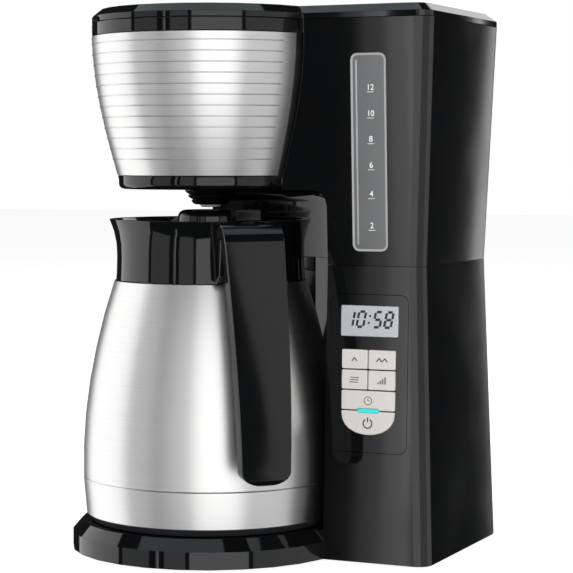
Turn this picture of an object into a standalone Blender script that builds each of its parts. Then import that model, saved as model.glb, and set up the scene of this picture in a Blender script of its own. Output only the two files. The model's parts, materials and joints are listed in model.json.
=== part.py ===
"""Drip coffee maker with a thermal carafe, as separate solids. Metres, +Z up, front at -Y."""
import math

import bmesh
import bpy
from mathutils import Matrix, Vector

mm = 0.001

# ---- Driving dimensions, in millimetres -------------------------------------------------
gap = 0.3                    # clearance between pieces that touch
disc_radius = 93.2           # round foot plate under the carafe
right_reach = 162.8          # carafe axis to the tower's right face
front_reach = 20.2           # carafe axis forward to the tower's front face
rear_reach = 122.6           # carafe axis back to the rear face
left_reach = 40.2            # carafe axis to the left end of the rear column
knuckle_radius = 2.6         # barrel of the lid hinge, outside the rear face
overall_height = 360.0
foot_height = 2.0
disc_top = 20.7
disc_wall_top = 13.3
disc_chamfer = 6.4
waist_height = 193.0         # seam between the lower and the upper housing
waist_inset = 6.4            # how far the tower narrows at its waist
bay_radius = 92.9            # concave wall that faces the carafe
bay_ceiling = 241.3
bay_fillet = 10.0
wall = 2.6
front_corner = 9.0
rear_corner = 12.0
lid_seam = 351.0
lid_rim = 3.6
lid_inset = 6.4
lid_wall = 2.4
head_top_radius = 78.7
head_bottom_radius = 61.3
head_bottom = 241.6
head_wall = 3.4
band_bottom = 250.8
band_top = 342.0
band_thickness = 0.8
band_start = -200.0          # degrees about the carafe axis
band_end = -19.0
carafe_clearance = 7.3       # carafe body to the bay wall
collar_bottom = 181.0
rim_height = 221.6
rim_radius = 67.8
neck_radius = 55.0
shell_bottom = 26.0
shell_wall = 0.8
vacuum_gap = 4.6
handle_angle = -47.0         # direction of the handle about the carafe axis
handle_reach = 121.0
handle_top = 220.8
handle_bottom = 57.0
end_rise = 9.0                  # height over which the grip's lower end is rounded
handle_width_top = 40.0
handle_width_bottom = 32.0
handle_thickness = 9.0
window_width = 24.4
window_bottom = 202.2
window_top = 328.8
window_x = 86.3
panel_x = 86.2
panel_width = 53.0
panel_bottom = 73.2
panel_top = 174.6
display_width = 39.6
display_height = 19.8
display_centre = 157.6
button_gap = 0.8
button_proud = 0.7
button_travel = 0.9
button_depth = 4.4
key_width = 37.0
key_row = 12.4
nozzle_radius = 17.2
nozzle_bottom = 231.0
basket_wall = 1.8
tank_wall = 2.0
tank_floor = 200.0
tank_top = 343.6
tube_radius = 4.2
turn_steps = 28

# ---- Sizes that follow from them --------------------------------------------------------
width = disc_radius + right_reach
handle_turn = math.radians(-handle_angle)
handle_front = handle_reach * math.sin(handle_turn) + handle_width_bottom / 2 * math.cos(handle_turn)
front_extent = max(disc_radius, handle_front)
depth = front_extent + rear_reach + knuckle_radius
axis_x = disc_radius - width / 2
axis_y = front_extent - depth / 2
right = axis_x + right_reach
front = axis_y - front_reach
rear = axis_y + rear_reach
left = axis_x - left_reach
carafe_radius = bay_radius - carafe_clearance
carafe_base = disc_top + gap
shell_top = collar_bottom - gap
lower_tilt = math.atan2(waist_inset, waist_height - foot_height)
upper_tilt = math.atan2(waist_inset, lid_seam - waist_height)
lid_bottom = lid_seam + gap

for old in list(bpy.data.objects):
    bpy.data.objects.remove(old, do_unlink=True)
parts = bpy.data.collections.new("drip_coffee_maker")
cutters = bpy.data.collections.new("cutters")
bpy.context.scene.collection.children.link(parts)
bpy.context.scene.collection.children.link(cutters)


# ---- Materials --------------------------------------------------------------------------
def finish(name, colour, roughness, metallic=0.0, alpha=1.0):
    material = bpy.data.materials.new(name)
    material.use_nodes = True
    shader = material.node_tree.nodes["Principled BSDF"]
    shader.inputs["Base Color"].default_value = (*colour, 1.0)
    shader.inputs["Roughness"].default_value = roughness
    shader.inputs["Metallic"].default_value = metallic
    shader.inputs["Alpha"].default_value = alpha
    return material


black_gloss = finish("black_gloss", (0.012, 0.012, 0.013), 0.12)
black_satin = finish("black_satin", (0.02, 0.02, 0.022), 0.4)
grey_plastic = finish("grey_plastic", (0.25, 0.25, 0.26), 0.5)
warm_key = finish("warm_key", (0.62, 0.59, 0.56), 0.45)
steel = finish("brushed_steel", (0.62, 0.61, 0.6), 0.28, 1.0)
zinc = finish("zinc", (0.5, 0.5, 0.5), 0.35, 1.0)
aluminium = finish("aluminium", (0.6, 0.6, 0.6), 0.4, 1.0)
clear_smoke = finish("clear_smoke", (0.05, 0.05, 0.055), 0.08, 0.0, 0.5)
silicone = finish("silicone", (0.6, 0.6, 0.58), 0.6)
rubber = finish("rubber", (0.03, 0.03, 0.03), 0.8)
board_green = finish("board_green", (0.02, 0.14, 0.06), 0.5)
lamp_teal = finish("lamp_teal", (0.05, 0.55, 0.55), 0.3)
gold_mesh = finish("gold_mesh", (0.6, 0.42, 0.16), 0.35, 1.0)


# ---- Modelling helpers (sizes in millimetres) -------------------------------------------
def place(obj, name, material=None):
    """Name the object, give it its material and put it in its collection."""
    obj.name = name
    obj.data.name = name
    home = parts if material else cutters
    for collection in list(obj.users_collection):
        collection.objects.unlink(obj)
    home.objects.link(obj)
    obj.data.materials.clear()
    if material:
        obj.data.materials.append(material)
    obj.hide_render = material is None
    obj.display_type = "TEXTURED" if material else "WIRE"
    return obj


def from_bmesh(bm, name, material=None):
    mesh = bpy.data.meshes.new(name)
    bm.to_mesh(mesh)
    bm.free()
    obj = bpy.data.objects.new(name, mesh)
    parts.objects.link(obj)
    return place(obj, name, material)


def smooth(obj, angle=40.0):
    obj.data.shade_smooth()
    obj.data.set_sharp_from_angle(angle=math.radians(angle))
    return obj


def baked(obj):
    """Replace an object's modifiers by the mesh that they make."""
    depsgraph = bpy.context.evaluated_depsgraph_get()
    mesh = bpy.data.meshes.new_from_object(obj.evaluated_get(depsgraph))
    obj.modifiers.clear()
    obj.data = mesh
    return obj


def plate(name, outlines, low, high, material=None):
    """A flat outline in XY, with any holes as further outlines, between two heights."""
    curve = bpy.data.curves.new(name, "CURVE")
    curve.dimensions = "2D"
    curve.fill_mode = "BOTH"
    curve.extrude = (high - low) / 2 * mm
    for outline in outlines:
        spline = curve.splines.new("POLY")
        spline.points.add(len(outline) - 1)
        for point, (x, y) in zip(spline.points, outline):
            point.co = (x * mm, y * mm, 0.0, 1.0)
        spline.use_cyclic_u = True
    guide = bpy.data.objects.new(name, curve)
    bpy.context.scene.collection.objects.link(guide)
    depsgraph = bpy.context.evaluated_depsgraph_get()
    mesh = bpy.data.meshes.new_from_object(guide.evaluated_get(depsgraph))
    bpy.data.objects.remove(guide)
    bm = bmesh.new()
    bm.from_mesh(mesh)
    bmesh.ops.remove_doubles(bm, verts=bm.verts, dist=0.00001)
    bmesh.ops.translate(bm, verts=bm.verts, vec=(0, 0, (low + high) / 2 * mm))
    bmesh.ops.recalc_face_normals(bm, faces=bm.faces)
    return from_bmesh(bm, name, material)


def arc(centre, radius, start, end, steps):
    """Points on a circle between two angles in degrees."""
    points = []
    for step in range(steps + 1):
        angle = math.radians(start + (end - start) * step / steps)
        points.append((centre[0] + radius * math.cos(angle), centre[1] + radius * math.sin(angle)))
    return points


def circle(centre, radius, steps=turn_steps):
    return arc(centre, radius, 0, 360 - 360 / steps, steps - 1)


def rounded_box(x0, x1, y0, y1, radii, steps=3):
    """A rectangle with its own corner radius at each corner, from the lower left, anticlockwise."""
    corners = ((x0, y0, 180), (x1, y0, 270), (x1, y1, 0), (x0, y1, 90))
    outline = []
    for (x, y, start), radius in zip(corners, radii):
        centre = (x + (radius if x == x0 else -radius), y + (radius if y == y0 else -radius))
        outline += arc(centre, radius, start, start + 90, steps)
    return outline


def turned(name, profile, material=None, steps=turn_steps, centre=(axis_x, axis_y), low=0.0):
    """A closed profile of (radius, height) turned about a vertical axis.

    The profile runs down its outer side, and one that starts and ends at radius 0 closes on the axis."""
    on_axis = profile[0][0] == 0 and profile[-1][0] == 0
    bm = bmesh.new()
    ring = [bm.verts.new((r * mm, 0, (z + low) * mm)) for r, z in profile]
    pairs = list(zip(ring, ring[1:]))
    if not on_axis:
        pairs.append((ring[-1], ring[0]))
    for a, b in pairs:
        bm.edges.new((a, b))
    obj = from_bmesh(bm, name, material)
    screw = obj.modifiers.new("turn", "SCREW")
    screw.steps = steps
    screw.render_steps = steps
    screw.use_merge_vertices = True
    screw.merge_threshold = 0.00001
    obj = baked(obj)
    obj.data.transform(Matrix.Translation((centre[0] * mm, centre[1] * mm, 0)))
    return smooth(place(obj, name, material))


def cylinder(name, radius, low, high, centre, material=None, steps=24, along="Z"):
    """A cylinder between two heights, or between two places along X or Y."""
    bm = bmesh.new()
    bmesh.ops.create_cone(bm, cap_ends=True, segments=steps, radius1=radius * mm,
                          radius2=radius * mm, depth=(high - low) * mm)
    turn = {"Z": Matrix(), "X": Matrix.Rotation(math.pi / 2, 4, "Y"),
            "Y": Matrix.Rotation(-math.pi / 2, 4, "X")}[along]
    middle = (low + high) / 2
    spot = {"Z": (centre[0], centre[1], middle), "X": (middle, centre[0], centre[1]),
            "Y": (centre[0], middle, centre[1])}[along]
    bmesh.ops.transform(bm, matrix=Matrix.Translation(Vector(spot) * mm) @ turn, verts=bm.verts)
    return smooth(from_bmesh(bm, name, material))


def block(name, x, y, z, material=None, bevel=0.0):
    """A box between (low, high) pairs, with its edges rounded by a Bevel where one is given."""
    bm = bmesh.new()
    bmesh.ops.create_cube(bm, size=1.0)
    size = Vector((x[1] - x[0], y[1] - y[0], z[1] - z[0])) * mm
    middle = Vector((x[0] + x[1], y[0] + y[1], z[0] + z[1])) * mm / 2
    bmesh.ops.scale(bm, verts=bm.verts, vec=size)
    bmesh.ops.translate(bm, verts=bm.verts, vec=middle)
    obj = from_bmesh(bm, name, material)
    if bevel:
        edge = obj.modifiers.new("edge", "BEVEL")
        edge.width = bevel * mm
        edge.segments = 2
    return obj


def tube(name, points, radius, material, resolution=2):
    """A round tube or wire along a list of points."""
    curve = bpy.data.curves.new(name, "CURVE")
    curve.dimensions = "3D"
    curve.bevel_depth = radius * mm
    curve.bevel_resolution = resolution
    curve.use_fill_caps = True
    spline = curve.splines.new("POLY")
    spline.points.add(len(points) - 1)
    for point, place_at in zip(spline.points, points):
        point.co = (*(Vector(place_at) * mm), 1.0)
    obj = bpy.data.objects.new(name, curve)
    parts.objects.link(obj)
    curve.materials.append(material)
    return obj


def rounded_route(corners, radius, steps=5):
    """Straight runs joined by bends of one radius, for a formed tube."""
    route = [Vector(corners[0])]
    for before, corner, after in zip(corners, corners[1:], corners[2:]):
        corner = Vector(corner)
        a = (Vector(before) - corner).normalized()
        b = (Vector(after) - corner).normalized()
        reach = radius / math.tan(a.angle(b) / 2)
        middle = corner + (a + b).normalized() * radius / math.sin(a.angle(b) / 2)
        start = (corner + a * reach - middle).normalized()
        end = (corner + b * reach - middle).normalized()
        for step in range(steps + 1):
            route.append(middle + start.slerp(end, step / steps) * radius)
    route.append(Vector(corners[-1]))
    return route


def boolean(target, tool, operation):
    modifier = target.modifiers.new(tool.name, "BOOLEAN")
    modifier.operation = operation
    modifier.object = tool
    return target


def cut(target, *tools):
    for tool in tools:
        boolean(target, tool, "DIFFERENCE")
    return target


def merged(target, *tools):
    for tool in tools:
        boolean(target, tool, "UNION")
    return target


def kept_inside(target, tool):
    return boolean(target, tool, "INTERSECT")


# ---- Shapes that several pieces share ---------------------------------------------------
def tower_block(name, grow, low, high, material=None):
    """The tower's rectangle from the rear column to the right face, grown outwards by grow.

    It narrows by waist_inset from its foot or its lid seam to the waist. Where low or high lies
    past an end of the taper, the taper carries on."""
    foot = foot_height if (low + high) / 2 < waist_height else lid_seam
    corners = [max(r + grow, 0.5) for r in (1.0, front_corner, rear_corner, rear_corner)]
    outline = rounded_box(left - grow, right + grow, front - grow, rear + grow, corners)
    obj = plate(name, [outline], low, high, material)
    middle = Vector(((left + right) / 2, (front + rear) / 2)) * mm
    for vertex in obj.data.vertices:
        share = (vertex.co.z / mm - foot) / (waist_height - foot)
        inset = waist_inset * share
        half_x = (right - left) / 2
        half_y = (rear - front) / 2
        vertex.co.x = left * mm + (vertex.co.x - left * mm) * (1 - inset / (2 * half_x))
        vertex.co.y = middle.y + (vertex.co.y - middle.y) * (1 - inset / half_y)
    return obj


def bay(name, grow, low):
    """The round space for the carafe, with a rounded corner under the head."""
    top = bay_ceiling + grow
    radius = bay_radius + grow
    fillet = bay_fillet + grow
    corner = arc((radius - fillet, top - fillet), fillet, 90, 0, 3)
    return turned(name, [(0, top)] + corner + [(radius, low), (0, low)])


bulge_start = band_bottom - 2.8
bulge_end = lid_seam - 5.0
bulge_steps = 6


def head_radius(height):
    """Outer radius of the brew head: upright at its bottom ring, then a bulge up to the lid."""
    share = min(max((height - bulge_start) / (bulge_end - bulge_start), 0.0), 1.0)
    spread = head_top_radius - head_bottom_radius
    return head_bottom_radius + spread * math.sin(share * math.pi / 2)


def head_profile(shift, low, high):
    """Points down the head's outer side, moved outwards by shift, at heights that all pieces share."""
    stations = [bulge_end + (bulge_start - bulge_end) * n / bulge_steps for n in range(bulge_steps + 1)]
    heights = [high] + [z for z in stations if low + 0.5 < z < high - 0.5] + [low]
    return [(head_radius(z) + shift, z) for z in heights]


def head_solid(name, grow, low, high):
    return turned(name, [(0, high)] + head_profile(grow, low, high) + [(0, low)])


def about_axis(radius, angle, height):
    """A point at a radius and an angle in degrees about the carafe axis."""
    angle = math.radians(angle)
    return (axis_x + radius * math.cos(angle), axis_y + radius * math.sin(angle), height)


# ---- Lower housing: round foot plate and the tower up to its waist ----------------------
below = -20.0                # past any bottom face, for cuts that go right through
above = 400.0                # past any top face


def disc_solid(name, grow, low):
    radius = disc_radius + grow
    top = disc_top + grow
    return turned(name, [(0, top), (radius - disc_chamfer, top),
                         (radius, disc_wall_top + grow * 0.4), (radius, low), (0, low)])


def lower_housing():
    shell = tower_block("lower_housing", 0, foot_height, waist_height - gap / 2, black_gloss)
    cut(shell, bay("bay_space", 0, disc_top))
    merged(shell, disc_solid("disc_outside", 0, foot_height))
    hollow = tower_block("lower_hollow", -wall, below, waist_height + 30)
    cut(hollow, bay("bay_wall", wall, disc_top - wall))
    merged(hollow, disc_solid("disc_inside", -wall, below))
    cut(shell, hollow)
    return shell


def bottom_cover():
    """A flat cover inside the lower housing's open bottom."""
    inset = wall + gap
    low = foot_height
    high = foot_height + 2.2
    cover = tower_block("bottom_cover", -inset, low, high, black_satin)
    merged(cover, cylinder("cover_disc", disc_radius - inset, low, high, (axis_x, axis_y),
                           steps=turn_steps))
    return cover


def feet():
    spots = {"foot_front_left": about_axis(72, -135, 0), "foot_front_right": (right - 22, front + 20),
             "foot_rear_right": (right - 22, rear - 22), "foot_rear_left": (left + 20, rear - 18)}
    for name, spot in spots.items():
        cylinder(name, 8.0, 0, foot_height - gap, spot[:2], rubber, 20)


def bottom_screws():
    """Heads of the screws that hold the bottom cover."""
    spots = [about_axis(60, -170, 0)[:2], about_axis(60, -60, 0)[:2], (right - 12, front + 60),
             (left + 50, rear - 16)]
    for index, spot in enumerate(spots, 1):
        cylinder("bottom_screw_%d" % index, 2.6, 0.7, foot_height - gap, spot, zinc, 10)


# ---- Upper housing, brew head and steel band --------------------------------------------
def upper_housing():
    shell = tower_block("upper_housing", 0, waist_height + gap / 2, lid_seam, black_gloss)
    outside_bay = bay("upper_bay", 0, below)
    head_gap = head_solid("head_space", gap, head_bottom - 4, above)
    cut(shell, outside_bay, head_gap)
    hollow = tower_block("upper_hollow", -wall, waist_height - 30, lid_seam + 30)
    cut(hollow, bay("upper_bay_wall", wall, below))
    cut(hollow, head_solid("head_wall_space", gap + wall, head_bottom - 4, above))
    cut(shell, hollow)
    hinge_cuts(shell)
    return shell


def brew_head():
    top = lid_seam
    floor = head_bottom + wall
    bottom_edge = arc((head_bottom_radius - 3.4, head_bottom + 3.4), 3.4, 0, -90, 3)
    outside = head_profile(0, head_bottom + 4, top)
    inside = [(r, z) for r, z in reversed(head_profile(-head_wall, floor, top))]
    hole = nozzle_radius - 3.2
    profile = outside + bottom_edge + [(hole, head_bottom), (hole, floor)] + inside
    head = turned("brew_head", profile, black_gloss)
    recess = band_ring("band_recess", 3.0, -(band_thickness + gap), gap)
    cut(head, kept_inside(recess, sector("recess_sector", band_start - 0.3, band_end + 0.3)))
    return head


def band_ring(name, outer, inner, extra):
    """A ring that follows the head's outer side between the band's edges."""
    low = band_bottom - extra
    high = band_top + extra
    outside = head_profile(outer, low, high)
    inside = [(r, z) for r, z in reversed(head_profile(inner, low, high))]
    return turned(name, outside + inside)


def sector(name, start, end):
    """A wedge about the carafe axis between two angles in degrees."""
    centre = (axis_x, axis_y)
    outline = [centre] + arc(centre, 2 * disc_radius, start, end, 12)
    return plate(name, [outline], band_bottom - 20, band_top + 20)


def steel_band():
    band = band_ring("steel_band", 0, -band_thickness, 0)
    place(band, "steel_band", steel)
    return kept_inside(band, sector("band_sector", band_start, band_end))


# ---- Lid and its hinge ------------------------------------------------------------------
hinge_y = rear
hinge_z = lid_seam + gap / 2
knuckle_low = 22.0
knuckle_high = 92.0
lug_length = 9.0
pin_radius = 1.1


def lid_solid(name, grow, low, high):
    """Tower part and head part of the lid, with the sloping border where both meet."""
    rim = lid_bottom + lid_rim
    corners = [max(r + grow, 0.5) for r in (1.0, front_corner, rear_corner, rear_corner)]
    outline = rounded_box(left - grow, right + grow, front - grow, rear + grow, corners)
    box = plate(name, [outline], low, rim)
    centre = Vector(((left + right) / 2, (front + rear) / 2)) * mm
    half = Vector(((right - left) / 2 + grow, (rear - front) / 2 + grow)) * mm
    bm = bmesh.new()
    bm.from_mesh(box.data)
    bm.faces.ensure_lookup_table()
    cap = [face for face in bm.faces if face.normal.z > 0.9]
    grown = bmesh.ops.extrude_face_region(bm, geom=cap)["geom"]
    for vertex in [item for item in grown if isinstance(item, bmesh.types.BMVert)]:
        vertex.co.z = high * mm
        vertex.co.x = centre.x + (vertex.co.x - centre.x) * (1 - lid_inset * mm / half.x)
        vertex.co.y = centre.y + (vertex.co.y - centre.y) * (1 - lid_inset * mm / half.y)
    bmesh.ops.delete(bm, geom=cap, context="FACES_ONLY")
    bmesh.ops.recalc_face_normals(bm, faces=bm.faces)
    bm.to_mesh(box.data)
    bm.free()
    radius = head_top_radius + grow
    top = turned(name + "_head", [(0, high), (radius - lid_inset, high), (radius, rim),
                                  (radius, low), (0, low)])
    return merged(box, top)


def lid():
    cover = lid_solid("lid", 0, lid_bottom, overall_height)
    place(cover, "lid", black_gloss)
    cut(cover, lid_solid("lid_hollow", -lid_wall, below, overall_height - lid_wall))
    lugs = cylinder("lug_clearance", knuckle_radius + 2 * gap, knuckle_low - lug_length - 2 * gap,
                    knuckle_high + lug_length + 2 * gap, (hinge_y, hinge_z), steps=12, along="X")
    cut(cover, lugs)
    barrel = cylinder("lid_barrel", knuckle_radius, knuckle_low, knuckle_high,
                      (hinge_y, hinge_z), steps=12, along="X")
    web = block("lid_web", (knuckle_low + 0.5, knuckle_high - 0.5), (hinge_y - 7, hinge_y - 0.7),
                (lid_bottom + 0.4, lid_bottom + lid_rim - 0.5))
    bore = cylinder("lid_bore", pin_radius + gap, knuckle_low - 30, knuckle_high + 30,
                    (hinge_y, hinge_z), steps=12, along="X")
    merged(cover, barrel, web)
    cut(cover, bore)
    notch = cylinder("finger_notch", 9.0, lid_bottom - 9, lid_bottom + 1.6,
                     about_axis(head_top_radius + 4.0, -135, 0)[:2], steps=16)
    return cut(cover, notch)


def hinge_cuts(shell):
    """Room for the lid's barrel, and the two lugs that hold its pin."""
    room = cylinder("barrel_room", knuckle_radius + 2 * gap, knuckle_low - 2 * gap,
                    knuckle_high + 2 * gap, (hinge_y, hinge_z), steps=12, along="X")
    cut(shell, room)
    for side, low in (("left", knuckle_low - lug_length - gap), ("right", knuckle_high + gap)):
        merged(shell, cylinder("lug_" + side, knuckle_radius, low, low + lug_length,
                               (hinge_y, hinge_z), steps=12, along="X"))
    cut(shell, cylinder("lug_bore", pin_radius + gap, knuckle_low - lug_length + 1.5,
                        knuckle_high + lug_length - 1.5, (hinge_y, hinge_z), steps=12, along="X"))


def lid_fittings():
    cylinder("lid_hinge_pin", pin_radius, knuckle_low - lug_length + 2, knuckle_high + lug_length - 2,
             (hinge_y, hinge_z), zinc, 12, "X")
    roof = overall_height - lid_wall - gap
    low = lid_seam - 8
    shower = turned("shower_plate", [(0, low + 1.8), (32, low + 1.8), (32, roof), (34, roof),
                                     (34, low), (0, low)], grey_plastic)
    for angle in range(13, 360, 60):
        cut(shower, cylinder("shower_hole_%d" % angle, 1.2, low - 3, low + 5,
                             about_axis(20, angle, 0)[:2], steps=8))


# ---- Filter basket, drip stop and the parts round them ----------------------------------
floor_top = head_bottom + wall
basket_low = floor_top + gap
basket_high = lid_seam - 14.0
basket_play = 2.0
valve_radius = 7.0
valve_bottom = nozzle_bottom - 1.6
spring_low = basket_low + basket_wall + 2.6
spring_high = spring_low + 9.0


def basket_radius(height):
    return head_radius(height) - head_wall - basket_play


def filter_basket():
    low = basket_low
    floor = low + basket_wall
    outlet = valve_radius + gap
    steps = 6
    heights = [basket_high + (low - basket_high) * n / steps for n in range(steps + 1)]
    outside = [(basket_radius(z), z) for z in heights]
    inside = [(basket_radius(z) - basket_wall, z) for z in reversed(heights[:-1])]
    profile = outside + [(outlet, low), (outlet, floor), (basket_radius(floor) - basket_wall, floor)]
    turned("filter_basket", profile + inside, black_satin)


def mesh_filter():
    low = spring_high + 5.0
    high = basket_high - 6.0
    thickness = 1.0
    bottom = 22.0
    top = basket_radius(high) - basket_wall - 2.0
    profile = [(0, low + thickness), (bottom - thickness, low + thickness), (top - 1.4, high),
               (top, high), (bottom, low), (0, low)]
    turned("mesh_filter", profile, gold_mesh)


def drip_stop():
    bore = valve_radius + gap
    neck = nozzle_radius - 3.2 - gap
    top = head_bottom - gap
    step = (top - nozzle_bottom) / 3
    rings = []
    for ring in range(3):
        radius = nozzle_radius - 2.2 * ring
        rings.append((radius, top - step * ring))
        rings.append((radius - 1.9, top - step * (ring + 1) + 0.4))
    profile = [(bore, floor_top - 0.1), (neck, floor_top - 0.1), (neck, top)] + rings
    turned("drip_nozzle", profile + [(bore, nozzle_bottom)], black_gloss, 24)
    flange = basket_low + basket_wall + gap
    turned("drip_stop_valve", [(0, flange + 1.8), (valve_radius + 2.6, flange + 1.8),
                               (valve_radius + 2.6, flange), (valve_radius, flange),
                               (valve_radius, valve_bottom + 1), (valve_radius - 1.2, valve_bottom),
                               (0, valve_bottom)], silicone, 24)
    turns = 4
    sides = 8
    points = []
    for index in range(turns * sides + 1):
        angle = math.tau * index / sides
        height = spring_low + 0.5 + (spring_high - spring_low - 1.0) * index / (turns * sides)
        points.append((axis_x + 5.4 * math.cos(angle), axis_y + 5.4 * math.sin(angle), height))
    tube("valve_spring", points, 0.45, steel)
    cage_low = basket_low + basket_wall + gap
    cage = turned("spring_cage", [(2.4, spring_high + 2), (12, spring_high + 2), (12, cage_low),
                                  (10.4, cage_low), (10.4, spring_high + gap),
                                  (2.4, spring_high + gap)], grey_plastic, 24)
    for index, size in enumerate(((30, 6), (6, 30))):
        cut(cage, block("cage_slot_%d" % index, (axis_x - size[0] / 2, axis_x + size[0] / 2),
                        (axis_y - size[1] / 2, axis_y + size[1] / 2),
                        (cage_low + 1.2, cage_low + 6)))


# ---- Reservoir, window and the water path -----------------------------------------------
tank_play = 1.4
tank_left = axis_x + 74.0
valve_spot = (86.0, 40.0)
riser_spot = (left + 25.0, rear - 18.6)
heater_radius = 40.0
heater_z = foot_height + 8.6


def tank_block(name, inset, low, high, material=None):
    solid = tower_block(name, -(wall + tank_play + inset), low, high, material)
    grow = wall + tank_play + inset
    cut(solid, bay(name + "_bay", grow, below))
    cut(solid, head_solid(name + "_head", gap + grow, head_bottom - 4, above))
    return cut(solid, block(name + "_side", (left - 50, tank_left + inset), (-300, 300), (below, above)))


def reservoir_tank():
    tank = tank_block("reservoir_tank", 0, tank_floor, tank_top, clear_smoke)
    cut(tank, tank_block("tank_hollow", tank_wall, tank_floor + tank_wall, lid_seam + 20))
    return cut(tank, cylinder("tank_outlet", 4.0, tank_floor - 20, tank_floor + 20, valve_spot))


def top_deck():
    """Deck round the basket and the tank's mouth, just under the lid."""
    low = tank_top + gap
    deck = tower_block("top_deck", -(wall + gap), low, low + 2.2, black_satin)
    cut(deck, cylinder("deck_head", head_top_radius + wall + 3 * gap, below, above, (axis_x, axis_y),
                       steps=turn_steps))
    cut(deck, tank_block("deck_mouth", tank_wall, lid_seam - 60, lid_seam + 20))
    return cut(deck, cylinder("deck_riser", 7.0 + gap, low - 10, low + 10, riser_spot))


def water_path():
    x, y = valve_spot
    turned("check_valve", [(0, tank_floor + 4), (3.6, tank_floor + 4), (3.6, tank_floor - gap),
                           (7, tank_floor - gap), (7, tank_floor - 6), (3, tank_floor - 12),
                           (0, tank_floor - 12)], grey_plastic, 20, valve_spot)
    bend = arc((axis_x, axis_y), heater_radius, 0, -180, 16)
    leg_end = axis_y + 34.0
    ring = [(bend[0][0], leg_end, heater_z)] + [(px, py, heater_z) for px, py in bend]
    ring.append((bend[-1][0], leg_end, heater_z))
    tube("heater_tube", ring, tube_radius, aluminium)
    hose_start = leg_end + gap
    inlet_x = bend[0][0]
    outlet_x = bend[-1][0]
    tube("inlet_hose", rounded_route([(x, y, tank_floor - 12 - gap), (x, y, heater_z),
                                      (inlet_x, y, heater_z), (inlet_x, hose_start, heater_z)], 12),
         tube_radius - 0.4, silicone)
    column = (riser_spot[0], riser_spot[1], heater_z)
    top = (riser_spot[0], riser_spot[1], tank_top - 8)
    corner = (outlet_x, hose_start + 26, heater_z)
    tube("riser_tube", rounded_route([(outlet_x, hose_start, heater_z), corner, column, top], 12),
         tube_radius - 0.4, silicone)
    turned("riser_spout", [(0, lid_seam - 2), (3, lid_seam - 2), (3.6, tank_top + 3), (7, tank_top + 3),
                           (7, tank_top - 8 + gap), (0, tank_top - 8 + gap)], grey_plastic, 20,
           riser_spot)


def heater_fittings():
    high = heater_z + tube_radius + gap
    block("heater_clamp", (axis_x - 48, axis_x + 48), (axis_y - 9, axis_y + 9), (high, high + 1.4), zinc)
    cylinder("thermostat", 8.0, high - 6, high - gap, (axis_x - 16, axis_y), aluminium)
    cylinder("thermal_fuse", 2.2, axis_x + 6, axis_x + 24, (axis_y, high - gap - 2.2), zinc, 12, "X")


def face_matrix(x, height, tilt_up):
    """Local x across, y up along the tower's front face and z out of it, at a height."""
    if tilt_up:
        drop = waist_inset * (height - foot_height) / (waist_height - foot_height)
        turn = math.pi / 2 - lower_tilt
    else:
        drop = waist_inset * (lid_seam - height) / (lid_seam - waist_height)
        turn = math.pi / 2 + upper_tilt
    spot = Vector((x, front + drop, height)) * mm
    return Matrix.Translation(spot) @ Matrix.Rotation(turn, 4, "X")


def water_window(housing):
    height = window_top - window_bottom
    frame = face_matrix(window_x, (window_top + window_bottom) / 2, False)
    radius = 4.4

    def outline(grow):
        return rounded_box(-window_width / 2 - grow, window_width / 2 + grow, -height / 2 - grow,
                           height / 2 + grow, [radius + grow] * 4)

    opening = plate("window_opening", [outline(gap)], -12, 12)
    opening.data.transform(frame)
    cut(housing, opening)
    pane = plate("water_window", [outline(0)], -wall + 0.2, 0, clear_smoke)
    pane.data.transform(frame)
    seal = plate("window_seal", [outline(2.2), outline(-1.4)], -wall - 0.8, -wall - 0.2, rubber)
    seal.data.transform(frame)


# ---- Control panel ----------------------------------------------------------------------
panel_height = (panel_top + panel_bottom) / 2
panel_thickness = 2.4
panel_radius = 5.4
keys_low = 84.4              # bottom of the half-round power key
pill_width = 14.5
pill_height = 2.4


def key_boxes():
    """Each key's outline in the panel's own frame, from the top row down."""
    half = key_width / 2
    middle = -0.4
    top = 139.2 - panel_height
    rows = {}
    rows["key_hour"] = (-half, middle - button_gap / 2, top - key_row, top)
    rows["key_minute"] = (middle + button_gap / 2, half, top - key_row, top)
    second = top - key_row - button_gap
    rows["key_clean"] = (-half, middle - button_gap / 2, second - key_row, second)
    rows["key_strength"] = (middle + button_gap / 2, half, second - key_row, second)
    third = second - key_row - button_gap
    rows["key_timer"] = (-half, half, third - key_row, third)
    return rows


def power_outline(grow):
    """Half-round key under the last row."""
    low = keys_low - panel_height
    top = key_boxes()["key_timer"][2] - button_gap
    half = key_width / 2 + grow
    drop = top - low
    points = [(half, top + grow), (-half, top + grow)]
    for index in range(13):
        angle = math.pi + math.pi * index / 12
        points.append((half * math.cos(angle), top - (drop + grow) * abs(math.sin(angle)) ** 0.8))
    points[2] = (-half, top - 0.6)
    points[-1] = (half, top - 0.6)
    return points


def on_panel(obj):
    obj.data.transform(face_matrix(panel_x, panel_height, True))
    return obj


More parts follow.
